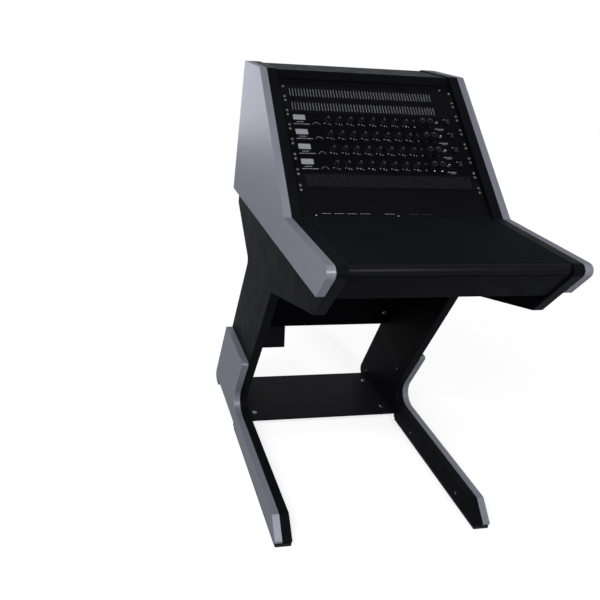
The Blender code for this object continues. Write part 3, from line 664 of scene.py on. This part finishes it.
def fixed_controls(number):
    """The caps of the level and pan knobs of a channel unit, and its rocker switch."""
    levels = channel_spots(number, LEVEL_KNOBS)
    pan = channel_spots(number, [PAN_KNOB])
    caps = together(
        copies(turned(over(LEVEL_ROWS, LEVEL_PLAY), 60, flutes(*LEVEL_FLUTES)), levels),
        copies(turned(over(PAN_ROWS, PAN_PLAY), 40, flutes(*PAN_FLUTES)), pan),
    )
    marks = together(copies(pointer(*LEVEL_POINTER), levels), copies(pointer(*PAN_POINTER), pan))
    finishes = ["knob", "pointer"]
    new_piece(f"level_caps_{number}", [caps, marks], RACK_PLACE, finishes)

    bezel = lofted(slab_rings(*BEZEL, BEZEL_ROWS, BEZEL_CORNER))
    points, faces = slab(**ROCKER)
    rocker = (points + np.outer(points[:, 1] * math.tan(ROCKER_TILT), UP), faces)
    switch = copies(together(bezel, rocker), channel_spots(number, [ROCKER_PLACE], ROCKER_DROP))
    dash = copies(slab(**ROCKER_DASH), channel_spots(number, [ROCKER_PLACE], ROCKER_DROP - DASH_RISE))
    new_piece(f"rocker_{number}", [switch, dash], RACK_PLACE, finishes)


def indicators(number):
    """Two small round indicators near the lower edge; the last unit has them in bright nickel."""
    across, drop = LIGHT_SPOT
    lights = copies(turned(LIGHT_ROWS, 20), channel_spots(number, [x + across for x in LEVEL_KNOBS], drop))
    finish = "bright" if number == CHANNELS else "knob"
    new_piece(f"indicators_{number}", [lights], RACK_PLACE, [finish])


# Print

INK_TOP = 0.00012
BAR_CORNER = 0.0002
DIGIT_HEIGHT = 0.0039
ZERO_HEIGHT = 0.0018

# Dials as (radius, length of a tick), and half a tick's width
DIAL_SWING = math.radians(150)
DIAL_TICKS = 11
KNOB_DIAL = (0.0074, 0.0016)
LEVEL_DIAL = (0.0092, 0.0018)
PAN_DIAL = (0.0052, 0.0012)
TICK_HALF = 0.00016
TICK_CORNER = 0.00005

# Marks round each knob: offset across and drop below the unit's upper edge
NUMBER_SPOT = (0.0010, 0.0322)
PAN_NUMBER_SPOT = (0.0040, 0.0322)
ZERO_SPOT = (-0.0055, 0.0305)
DOT_SPOTS = ((0.0072, 0.0335), (-0.0085, 0.0300))
DOT_RADIUS = 0.0009

# Bars of a channel unit, white and grey: left end, drop below its upper edge, width and height
WHITE_BARS = [(0.1700, 0.0120, 0.0060, 0.0016), (0.1940, 0.0040, 0.0140, 0.0014)]
GREY_BARS = [
    (-0.2120, 0.0270, 0.0180, 0.0018),
    (-0.2205, 0.0335, 0.0150, 0.0020),
    (-0.2042, 0.0335, 0.0090, 0.0020),
    (-0.1940, 0.0335, 0.0155, 0.0020),
    (0.1640, 0.0165, 0.0100, 0.0016),
    (0.1620, 0.0350, 0.0240, 0.0022),
    (0.1690, 0.0395, 0.0150, 0.0012),
]

# Response curve and name plate of a channel unit, with their places as for the bars
CURVE_SPOT = (-0.1612, 0.0345)
CURVE_REACH = 0.0105
CURVE_HEIGHT = 0.0062
CURVE_HALF = 0.0004
PLATE_SPOT = (-0.20375, 0.0140)
PLATE = dict(half_x=0.0157, half_y=0.0077, low=SEAT, high=0.0006, corner=0.0012, ease=0.00015)

# Dashes of the blank panel: left and right ends, and left ends of the worn ones
DASHES = [(-0.191, -0.170), (-0.161, -0.1375), (-0.130, -0.105), (-0.0975, -0.0725), (-0.035, -0.010)]
DASH_DROP = 0.3805
DASH_HEIGHT = 0.0010
WORN_DASHES = (0.0276, 0.060)
WORN_WIDTH = 0.025
WORN_HEIGHT = 0.0011


def lettering(text, height):
    """A number as a raised flat print, centred, from the built-in font."""
    digit_share = 0.7
    curve = bpy.data.curves.new("number", "FONT")
    curve.body = text
    curve.size = height / digit_share
    curve.align_x = "CENTER"
    curve.align_y = "CENTER"
    curve.extrude = INK_TOP / 2
    curve.resolution_u = 2
    letter = bpy.data.objects.new("number", curve)
    bpy.context.scene.collection.objects.link(letter)
    bpy.context.view_layer.update()
    mesh = bpy.data.meshes.new_from_object(letter.evaluated_get(bpy.context.evaluated_depsgraph_get()))
    welded = bmesh.new()
    welded.from_mesh(mesh)
    bmesh.ops.remove_doubles(welded, verts=welded.verts, dist=1e-7)
    bmesh.ops.recalc_face_normals(welded, faces=welded.faces)
    points = np.array([vert.co for vert in welded.verts], float) + UP * INK_TOP / 2
    faces = [[vert.index for vert in face.verts] for face in welded.faces]
    welded.free()
    bpy.data.objects.remove(letter)
    return points, faces


def dial(radius, length):
    """Short radial strokes from the lower left round to the lower right, as far as a knob turns."""
    tick = slab(TICK_HALF, length / 2, SEAT, INK_TOP, TICK_CORNER)
    tick = copies(tick, [(0, radius + length / 2, 0)])
    return together(*(turned_by(tick, angle) for angle in np.linspace(-DIAL_SWING, DIAL_SWING, DIAL_TICKS)))


def bars(rows, top=0.0):
    """Plain printed bars at (left end, drop of the upper edge below top, width, height) rows."""
    shapes = []
    for left, drop, width, height in rows:
        bar = slab(width / 2, height / 2, SEAT, INK_TOP, BAR_CORNER)
        shapes.append(copies(bar, [(left + width / 2, top - drop - height / 2, 0)]))
    return together(*shapes)


def response_curve():
    """A plain bandpass curve, drawn as a line of even width: h(x) = height * exp(-(1.5 * x) ** 4)."""
    x = np.linspace(-1, 1, 33)
    height = CURVE_HEIGHT * np.exp(-(x * 1.5) ** 4)
    return strip(np.stack([x * CURVE_REACH, height], -1), CURVE_HALF, SEAT, INK_TOP)


def legends(number, digits):
    """All print of a channel unit: ticks, numbers, dots, bars and the curve, and its blank name plate."""
    top = unit_top(FIRST_CHANNEL + number - 1)
    knobs = [JOINTS[f"knob_{number}_{index}_turn"]["pos_m"][0] for index in range(1, KNOBS + 1)]
    dials = together(
        copies(dial(*KNOB_DIAL), channel_spots(number, knobs)),
        copies(dial(*LEVEL_DIAL), channel_spots(number, LEVEL_KNOBS)),
        copies(dial(*PAN_DIAL), channel_spots(number, [PAN_KNOB])),
    )
    new_piece(f"dials_{number}", [dials], RACK_PLACE, ["tick"], smooth=30)

    dot = turned([(DOT_RADIUS, SEAT, 0), (DOT_RADIUS, INK_TOP, 0)], 12)
    marks = [bars(WHITE_BARS, top)]
    numbers = [(digit, x, NUMBER_SPOT) for digit, x in zip(digits[1:], knobs)]
    numbers += [(digits[0], x, ZERO_SPOT) for x in knobs]
    numbers.append((digits[KNOBS + 1], PAN_KNOB, PAN_NUMBER_SPOT))
    dots = [(dot, x, spot) for x in knobs for spot in DOT_SPOTS]
    for shape, x, (across, drop) in numbers + dots:
        marks.append(copies(shape, channel_spots(number, [x + across], drop)))
    new_piece(f"print_{number}", [together(*marks)], RACK_PLACE, ["white"], smooth=30)

    across, drop = CURVE_SPOT
    curve = copies(response_curve(), channel_spots(number, [across], drop))
    grey = together(bars(GREY_BARS, top), curve)
    new_piece(f"grey_print_{number}", [grey], RACK_PLACE, ["grey"], smooth=30)

    across, drop = PLATE_SPOT
    plate = copies(slab(**PLATE), channel_spots(number, [across], drop))
    new_piece(f"name_plate_{number}", [plate], RACK_PLACE, ["plate"])


def blank_panel_marks():
    """Seven short dashes along the lower part of the blank panel, the last two worn."""
    clear = bars([(left, DASH_DROP, right - left, DASH_HEIGHT) for left, right in DASHES])
    worn = bars([(left, DASH_DROP, WORN_WIDTH, WORN_HEIGHT) for left in WORN_DASHES])
    new_piece("panel_dashes", [clear], RACK_PLACE, ["pointer"], smooth=30)
    new_piece("worn_dashes", [worn], RACK_PLACE, ["worn"], smooth=30)


# Furniture fittings

# Leg screws as (depth from the front of the side panels, height), and heads as (radius, height)
LEG_SCREWS = [(0.554, 0.162), (0.742, 0.036), (0.405, 0.029), (0.147, 0.031)]
LEG_HEAD = (0.0042, 0.0012)
BACK_HEAD = (0.0042, 0.0014)
BACK_SCREWS_ACROSS = (-0.225, 0.0, 0.225)
BACK_SCREW_INSET = 0.010

# Caps: rows of (radius, height, share), and their places on the base plate and the slanted modesty panel
CAP_ROWS = [
    (0.0078, SEAT, 0),
    (0.0078, 0.0006, 0),
    (0.0072, 0.0013, 0),
    (0.0050, 0.0017, 0),
    (0.0020, 0.0018, 0),
]
BASE_CAPS_ACROSS = 0.214
BASE_CAP_DEPTHS = (0.547, 0.695)
MODESTY_CAPS_ACROSS = 0.2237
MODESTY_CAP_RISE = 0.050
MODESTY_LEAN = math.radians(69.71)
BOARD = 0.019


def leg_screws():
    """Cap screws on the inner faces of both legs, which hold the lower cladding."""
    low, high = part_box("side_panel_left")
    heads = copies(screw_head(*LEG_HEAD), [(depth, height, SCREW_SEAT) for depth, height in LEG_SCREWS])
    for side, sign in SIDES.items():
        place = (np.array([sign * abs(high.x), low.y, 0.0]), BACK, UP, -sign * ACROSS)
        new_piece(f"leg_screws_{side}", [heads], place, ["dull_screw"])


def plate_caps():
    """Bright caps over the fixings of the base plate and the modesty panel."""
    cap = turned(CAP_ROWS, 32)
    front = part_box("side_panel_left")[0].y
    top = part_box("base_plate")[1].z
    spots = [(sign * BASE_CAPS_ACROSS, depth, 0) for sign in SIDES.values() for depth in BASE_CAP_DEPTHS]
    place = (np.array([0.0, front, top]), ACROSS, BACK, UP)
    new_piece("base_plate_caps", [copies(cap, spots)], place, ["cap"])

    low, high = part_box("modesty_panel")
    lean_cos, lean_sin = math.cos(MODESTY_LEAN), math.sin(MODESTY_LEAN)
    foot = np.array([0.0, high.y - BOARD / lean_sin, low.z])
    place = (foot, ACROSS, UP * lean_sin - BACK * lean_cos, -BACK * lean_sin - UP * lean_cos)
    spots = [(sign * MODESTY_CAPS_ACROSS, MODESTY_CAP_RISE / lean_sin, 0) for sign in SIDES.values()]
    new_piece("modesty_panel_caps", [copies(cap, spots)], place, ["cap"])


def back_screws():
    """Eight cap screws round the back panel."""
    low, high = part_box("back_panel")
    middle = (low.z + high.z) / 2
    heights = [low.z + BACK_SCREW_INSET, middle, high.z - BACK_SCREW_INSET]
    spots = [(x, z, SCREW_SEAT) for x in BACK_SCREWS_ACROSS for z in heights if (x, z) != (0.0, middle)]
    place = (BACK * high.y, -ACROSS, UP, BACK)
    new_piece("back_panel_screws", [copies(screw_head(*BACK_HEAD), spots)], place, ["dull_screw"])


boards()
rack_screws()
vent_fins()
turning_knobs()
DIGITS = [lettering("0", ZERO_HEIGHT)]
DIGITS += [lettering(str(number), DIGIT_HEIGHT) for number in range(1, KNOBS + 2)]
for channel in range(1, CHANNELS + 1):
    fixed_controls(channel)
    legends(channel, DIGITS)
    indicators(channel)
blank_panel_marks()
leg_screws()
plate_caps()
back_screws()


# Studio

# The photograph's frame in pixels, and its camera in metres and degrees
IMAGE_SIZE = 600
FOCAL_PIXELS = 632.7
CAMERA_PLACE = (-0.7378, -1.41745, 1.2156)
CAMERA_PITCH = 23.58
CAMERA_YAW = 11.53
CAMERA_ROLL = -4.21
SHIFT = (0.165, -0.05)
SENSOR = 36.0

# Light: the sky's level for soft light, the floor's own glow, and each lamp's place, target, size and watts
SKY = 0.18
FLOOR_GLOW = 0.76
LAMPS = {
    "key_left": ((-1.35, -1.1, 1.75), (-0.1, -0.1, 0.7), (0.8, 0.8), 26),
    "front_lamp": ((0.55, -1.95, 1.66), (-0.15, -0.4, 0.5), (0.4, 0.25), 20),
    "front_fill": ((-1.1, -2.0, 0.55), (-0.2, -0.3, 0.1), (0.7, 0.5), 3),
    "back_fill": ((-1.0, 2.3, 0.9), (0, 0, 0.6), (1.3, 1.0), 26),
    "right_fill": ((2.4, 1.0, 0.40), (0.2, 0, 0.40), (1.2, 0.55), 22),
}

# Floor: its radius, and where it starts and ends to fade into the white background
FLOOR_RADIUS = 9.0
FADE = (0.75, 2.0)
FLOOR_GREYS = [(0.38, 0.38, 0.38), (0.40, 0.40, 0.40)]


def camera():
    data = bpy.data.cameras.new("camera")
    data.sensor_width = SENSOR
    data.lens = FOCAL_PIXELS / IMAGE_SIZE * SENSOR
    data.shift_x, data.shift_y = SHIFT
    eye = bpy.data.objects.new("camera", data)
    bpy.context.scene.collection.objects.link(eye)
    pitch, yaw, roll = (math.radians(angle) for angle in (CAMERA_PITCH, CAMERA_YAW, CAMERA_ROLL))
    forward = np.array([math.cos(pitch) * math.sin(yaw), math.cos(pitch) * math.cos(yaw), -math.sin(pitch)])
    right = np.array([math.cos(yaw), -math.sin(yaw), 0.0])
    up = np.cross(right, forward)
    rolled_right = math.cos(roll) * right - math.sin(roll) * up
    rolled_up = math.sin(roll) * right + math.cos(roll) * up
    matrix = np.eye(4)
    matrix[:3] = np.column_stack([rolled_right, rolled_up, -forward, CAMERA_PLACE])
    eye.matrix_world = Matrix(matrix.tolist())
    bpy.context.scene.camera = eye


def soft_light(name, place, target, size, power):
    """A rectangular lamp at its place, turned to its target."""
    data = bpy.data.lights.new(name, "AREA")
    data.shape = "RECTANGLE"
    data.size, data.size_y = size
    data.energy = power
    lamp = bpy.data.objects.new(name, data)
    bpy.context.scene.collection.objects.link(lamp)
    lamp.location = place
    lamp.rotation_euler = (Vector(target) - Vector(place)).to_track_quat("-Z", "Y").to_euler()


def seen_or_mirrored(tree):
    """1 for rays from the camera, from gloss and through glass, and 0 for the light that falls on things."""
    paths = tree.nodes.new("ShaderNodeLightPath")
    seen = paths.outputs["Is Camera Ray"]
    for kind in ("Is Glossy Ray", "Is Transmission Ray"):
        either = tree.nodes.new("ShaderNodeMath")
        either.operation = "MAXIMUM"
        tree.links.new(seen, either.inputs[0])
        tree.links.new(paths.outputs[kind], either.inputs[1])
        seen = either.outputs[0]
    return seen


def world():
    """White where the camera, gloss or glass sees it, and a plain grey sky for soft light."""
    studio = bpy.data.worlds.new("studio")
    bpy.context.scene.world = studio
    studio.use_nodes = True
    tree = studio.node_tree
    back = tree.nodes["Background"]
    back.inputs["Color"].default_value = (1, 1, 1, 1)
    level = tree.nodes.new("ShaderNodeMapRange")
    level.inputs["To Min"].default_value = SKY
    level.inputs["To Max"].default_value = 1.0
    tree.links.new(seen_or_mirrored(tree), level.inputs["Value"])
    tree.links.new(level.outputs["Result"], back.inputs["Strength"])


def floor():
    """A round pale floor that takes the object's shadow and fades into the white background: ring i, point j
    is radius i times (cos, sin) of angle j."""
    sides, count = 96, 12
    angle = np.linspace(0, 2 * np.pi, sides, endpoint=False)
    radius = np.linspace(0.05, FLOOR_RADIUS, count)[:, None]
    points = np.stack([radius * np.cos(angle), radius * np.sin(angle), 0 * radius * angle], -1)
    start = np.arange(count - 1)[:, None] * sides
    here = np.arange(sides)[None, :]
    after = (here + 1) % sides
    quads = np.stack([start + here, start + sides + here, start + sides + after, start + after], -1)
    mesh = bpy.data.meshes.new("floor")
    mesh.from_pydata(points.reshape(-1, 3).tolist(), [], quads.reshape(-1, 4).tolist() + here.tolist())
    ground = bpy.data.objects.new("floor", mesh)
    bpy.context.scene.collection.objects.link(ground)

    nodes = Nodes("pale_floor")
    nodes.colour(nodes.ramp(nodes.noise(3, 3), 0.3, 0.7, FLOOR_GREYS))
    nodes.constant(Roughness=0.9, Specular_IOR_Level=0.0)
    glow = nodes.add("ShaderNodeEmission")
    glow.inputs["Strength"].default_value = FLOOR_GLOW
    near = nodes.add("ShaderNodeAddShader")
    nodes.link(nodes.shader.outputs[0], near.inputs[0])
    nodes.link(glow.outputs[0], near.inputs[1])
    white = nodes.add("ShaderNodeEmission")
    distance = nodes.add("ShaderNodeVectorMath", operation="LENGTH")
    nodes.link(nodes.place, distance.inputs[0])
    fade = nodes.add("ShaderNodeMapRange", interpolation_type="SMOOTHSTEP")
    fade.inputs["From Min"].default_value, fade.inputs["From Max"].default_value = FADE
    nodes.link(distance.outputs["Value"], fade.inputs["Value"])
    shown = nodes.add("ShaderNodeMixShader")
    nodes.link(fade.outputs["Result"], shown.inputs["Fac"])
    nodes.link(near.outputs[0], shown.inputs[1])
    nodes.link(white.outputs[0], shown.inputs[2])
    final = nodes.add("ShaderNodeMixShader")
    nodes.link(seen_or_mirrored(nodes.tree), final.inputs["Fac"])
    nodes.link(nodes.shader.outputs[0], final.inputs[1])
    nodes.link(shown.outputs[0], final.inputs[2])
    nodes.link(final.outputs[0], nodes.tree.nodes["Material Output"].inputs["Surface"])
    mesh.materials.append(nodes.material)


camera()
world()
floor()
for lamp_name, lamp_values in LAMPS.items():
    soft_light(lamp_name, *lamp_values)
bpy.context.scene.view_settings.view_transform = "Standard"
